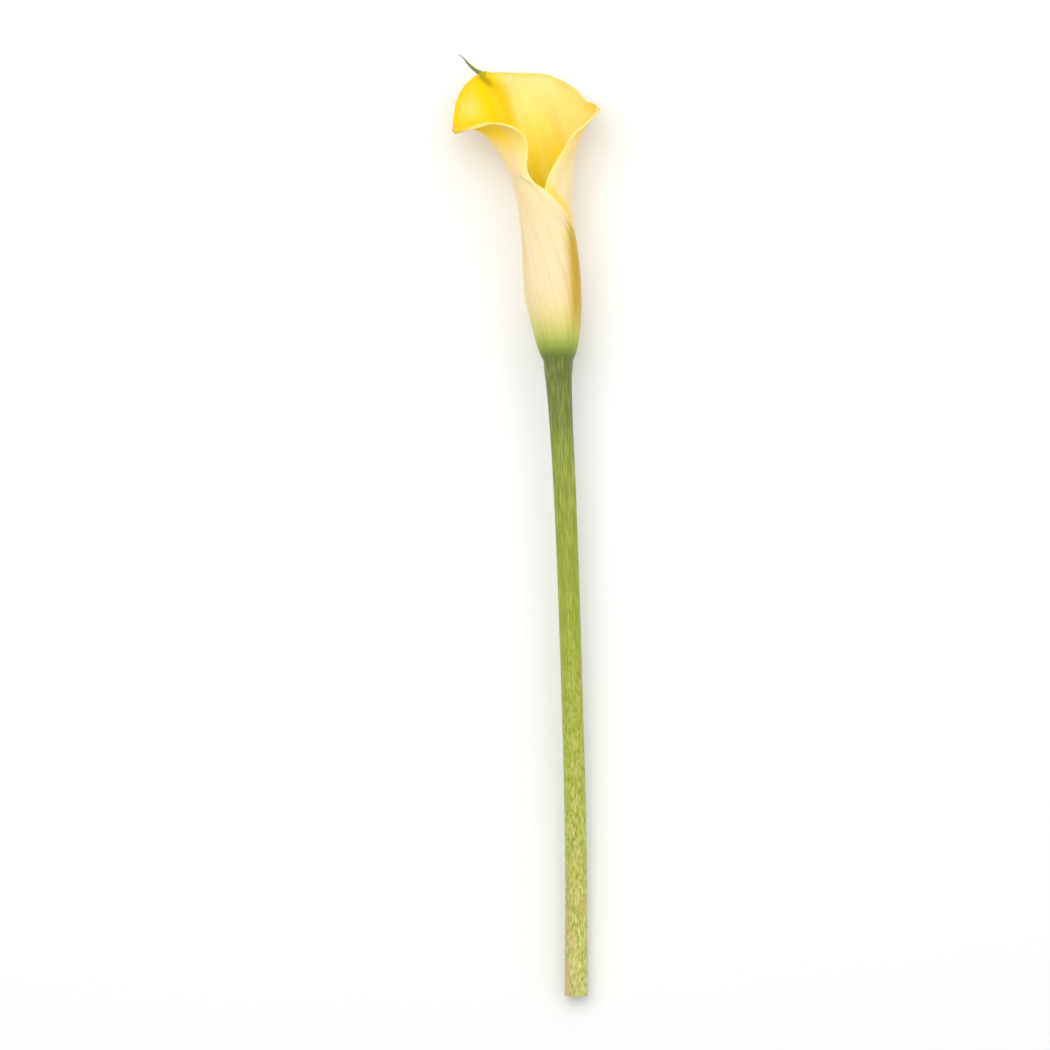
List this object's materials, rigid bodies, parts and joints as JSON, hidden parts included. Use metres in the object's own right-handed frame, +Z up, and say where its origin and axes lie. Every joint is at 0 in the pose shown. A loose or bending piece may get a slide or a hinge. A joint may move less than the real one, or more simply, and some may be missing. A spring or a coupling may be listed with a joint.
{
  "type": "arum lily flower",
  "caption": "Cut arum lily flower lying on its side: a rolled yellow funnel-shaped spathe with a curled tail, a spadix inside it and a long green stalk.",
  "frame": {"origin": "middle of the flower's box, on the surface it lies on", "axes": "+Y along the flower from the cut end of the stalk to the mouth, +Z up, so that the open side of the mouth looks up"},
  "size_m": [0.0502, 0.3224, 0.0323],
  "materials": {
    "petal_tissue": "satin, waxy",
    "floret_tissue": "matte, granular",
    "stalk_tissue": "satin"
  },
  "bodies": {
    "root": {"spathe": "petal_tissue", "spadix": "floret_tissue", "flower_stem": "stalk_tissue"}
  },
  "joints": []
}
